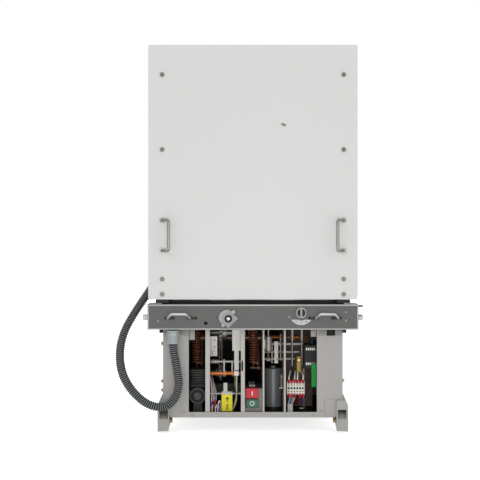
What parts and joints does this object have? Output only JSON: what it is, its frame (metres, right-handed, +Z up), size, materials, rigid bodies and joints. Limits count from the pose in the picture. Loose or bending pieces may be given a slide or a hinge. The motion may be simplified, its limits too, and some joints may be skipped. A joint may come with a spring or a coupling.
{
  "type": "vacuum circuit breaker",
  "caption": "Withdrawable indoor vacuum circuit breaker: wheeled spring mechanism box, racking crossbar, tall front plate, pole units with tulip contacts.",
  "frame": {"origin": "on the floor, under the middle of the truck", "axes": "+X to the right seen from the front plate, +Y from the front plate to the tulip contacts, +Z up"},
  "size_m": [0.7749, 0.676, 1.204],
  "materials": {
    "front_paint": "fine satin powder coat",
    "box_paint": "satin",
    "galvanised": "dull zinc",
    "dark_steel": "matt black",
    "steel": "machined",
    "zinc_yellow": "yellow passivated zinc",
    "chrome": "polished",
    "tread": "turned",
    "insulation": "moulded",
    "ceramic": "glazed",
    "copper": "silvered copper",
    "spring": "varnished",
    "black_plastic": "moulded",
    "red_plastic": "gloss",
    "green_plastic": "gloss",
    "yellow": "satin",
    "terminal_white": "moulded",
    "hose": "corrugated",
    "fitting": "moulded"
  },
  "bodies": {
    "truck": {"floor_pan": "box_paint", "side_column_left": "box_paint", "side_column_right": "box_paint", "rear_wall": "box_paint", "deck_plate": "box_paint", "partition_left": "box_paint", "partition_middle": "box_paint", "partitions_thin": "box_paint", "wheel_forks": "box_paint", "truck_bolts": "zinc_yellow", "bar_guides": "dark_steel", "front_plate": "front_paint", "fascia_frame_left": "dark_steel", "fascia_frame_right": "dark_steel", "plate_screws": "zinc_yellow", "pull_handles": "chrome", "pole_troughs": "insulation", "vacuum_bottles": "ceramic", "lower_terminals": "copper", "upper_terminals": "copper", "tulip_contacts": "copper", "opening_spring_left": "spring", "opening_spring_centre": "spring", "charging_motor": "dark_steel", "drive_chain": "steel", "closing_spring_barrel": "dark_steel", "dashpot": "steel", "trip_linkage": "steel", "auxiliary_switch": "black_plastic", "terminal_block": "terminal_white", "operations_counter": "black_plastic", "button_bracket": "box_paint", "hose_fitting": "fitting", "control_hose": "hose", "control_plug": "fitting"},
    "crossbar_body": {"crossbar": "galvanised", "racking_boss": "galvanised", "position_scale": "terminal_white", "guide_rods": "steel"},
    "racking_screw_body": {"racking_screw": "steel"},
    "knob_body": {"interlock_knob": "chrome"},
    "lock_left_body": {"lock_pin_left": "steel"},
    "lock_right_body": {"lock_pin_right": "steel"},
    "main_shaft_body": {"main_shaft": "steel"},
    "rod_a_body": {"pull_rod_a": "insulation", "contact_stem_a": "copper"},
    "rod_b_body": {"pull_rod_b": "insulation", "contact_stem_b": "copper"},
    "rod_c_body": {"pull_rod_c": "insulation", "contact_stem_c": "copper"},
    "cam_body": {"cam_shaft": "steel"},
    "motor_sprocket_body": {"motor_sprocket": "steel"},
    "close_button_body": {"close_button": "red_plastic"},
    "open_button_body": {"open_button": "green_plastic"},
    "indicator_body": {"charge_indicator": "yellow"},
    "wheel_fl_body": {"wheel_front_left": "tread"},
    "wheel_fr_body": {"wheel_front_right": "tread"},
    "wheel_rl_body": {"wheel_rear_left": "tread"},
    "wheel_rr_body": {"wheel_rear_right": "tread"}
  },
  "joints": [
    {"name": "crossbar_slide", "type": "slide", "parent": "truck", "child": "crossbar_body", "axis": [0, -1, 0], "range_m": [0, 0.2]},
    {"name": "racking_turn", "type": "hinge", "parent": "crossbar_body", "child": "racking_screw_body", "pos_m": [-0.076, -0.2, 0.3575], "axis": [0, 1, 0], "range_deg": [0, 9001]},
    {"name": "interlock_turn", "type": "hinge", "parent": "crossbar_body", "child": "knob_body", "pos_m": [0.149, -0.3, 0.3755], "axis": [0, 1, 0], "range_deg": [-40, 40]},
    {"name": "lock_left_slide", "type": "slide", "parent": "crossbar_body", "child": "lock_left_body", "axis": [1, 0, 0], "range_m": [0, 0.018], "stiffness_N_per_m": 400, "springref_m": -0.01},
    {"name": "lock_right_slide", "type": "slide", "parent": "crossbar_body", "child": "lock_right_body", "axis": [-1, 0, 0], "range_m": [0, 0.018], "stiffness_N_per_m": 400, "springref_m": -0.01},
    {"name": "main_shaft_turn", "type": "hinge", "parent": "truck", "child": "main_shaft_body", "pos_m": [0, 0.02, 0.27], "axis": [1, 0, 0], "range_deg": [0, 16], "stiffness_Nm_per_rad": 50, "springref_deg": -11.46, "deforming": ["opening_spring_left", "opening_spring_centre"]},
    {"name": "rod_a_lift", "type": "slide", "parent": "truck", "child": "rod_a_body", "axis": [0, 0, 1], "range_m": [0, 0.01115]},
    {"name": "rod_b_lift", "type": "slide", "parent": "truck", "child": "rod_b_body", "axis": [0, 0, 1], "range_m": [0, 0.01115]},
    {"name": "rod_c_lift", "type": "slide", "parent": "truck", "child": "rod_c_body", "axis": [0, 0, 1], "range_m": [0, 0.01115]},
    {"name": "cam_turn", "type": "hinge", "parent": "truck", "child": "cam_body", "pos_m": [-0.086, -0.13, 0.3], "axis": [1, 0, 0], "continuous": true, "deforming": ["drive_chain"]},
    {"name": "motor_turn", "type": "hinge", "parent": "truck", "child": "motor_sprocket_body", "pos_m": [-0.12, -0.1581, 0.173], "axis": [1, 0, 0], "continuous": true, "deforming": ["drive_chain"]},
    {"name": "close_button_press", "type": "slide", "parent": "truck", "child": "close_button_body", "axis": [0, 1, 0], "range_m": [0, 0.008], "stiffness_N_per_m": 300, "springref_m": -0.004},
    {"name": "open_button_press", "type": "slide", "parent": "truck", "child": "open_button_body", "axis": [0, 1, 0], "range_m": [0, 0.008], "stiffness_N_per_m": 300, "springref_m": -0.004},
    {"name": "indicator_turn", "type": "hinge", "parent": "truck", "child": "indicator_body", "pos_m": [-0.081, -0.228, 0.116], "axis": [1, 0, 0], "range_deg": [0, 18]},
    {"name": "wheel_fl_roll", "type": "hinge", "parent": "truck", "child": "wheel_fl_body", "pos_m": [-0.278, -0.24, 0.036], "axis": [1, 0, 0], "continuous": true},
    {"name": "wheel_fr_roll", "type": "hinge", "parent": "truck", "child": "wheel_fr_body", "pos_m": [0.278, -0.24, 0.036], "axis": [1, 0, 0], "continuous": true},
    {"name": "wheel_rl_roll", "type": "hinge", "parent": "truck", "child": "wheel_rl_body", "pos_m": [-0.278, 0.17, 0.036], "axis": [1, 0, 0], "continuous": true},
    {"name": "wheel_rr_roll", "type": "hinge", "parent": "truck", "child": "wheel_rr_body", "pos_m": [0.278, 0.17, 0.036], "axis": [1, 0, 0], "continuous": true}
  ],
  "couplings": [
    {"joint": "rod_a_lift", "follows": "main_shaft_turn", "m_per_rad": 0.03987},
    {"joint": "rod_b_lift", "follows": "main_shaft_turn", "m_per_rad": 0.03987},
    {"joint": "rod_c_lift", "follows": "main_shaft_turn", "m_per_rad": 0.03987},
    {"joint": "motor_turn", "follows": "cam_turn", "ratio": 2.4},
    {"joint": "racking_turn", "follows": "crossbar_slide", "rad_per_m": 785.4}
  ]
}
